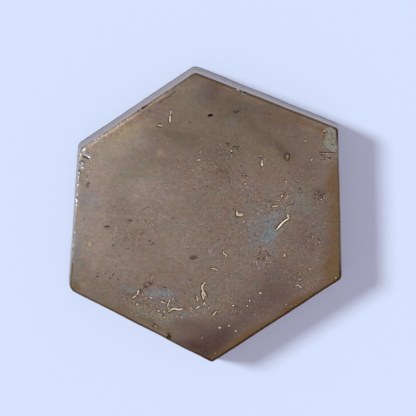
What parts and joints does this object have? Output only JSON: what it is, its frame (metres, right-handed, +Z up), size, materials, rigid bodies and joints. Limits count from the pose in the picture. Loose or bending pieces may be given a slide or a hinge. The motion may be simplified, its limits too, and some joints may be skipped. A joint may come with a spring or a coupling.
{
  "type": "polished hexagonal pyrite slab",
  "caption": "Flat hexagonal slab of pyrite with a polished face, rounded corners, slightly flared sides, small rim chips and a flat lapped back; a loose display stone.",
  "frame": {"origin": "middle of the flat back, at the bottom centre of the bounding box", "axes": "+Z up out of the polished face, +Y towards the corner at the top of the face, +X to the right of the face"},
  "size_m": [0.0413, 0.0444, 0.0055],
  "materials": {
    "polished_pyrite": "satin"
  },
  "bodies": {
    "root": {"pyrite_slab": "polished_pyrite"}
  },
  "joints": []
}
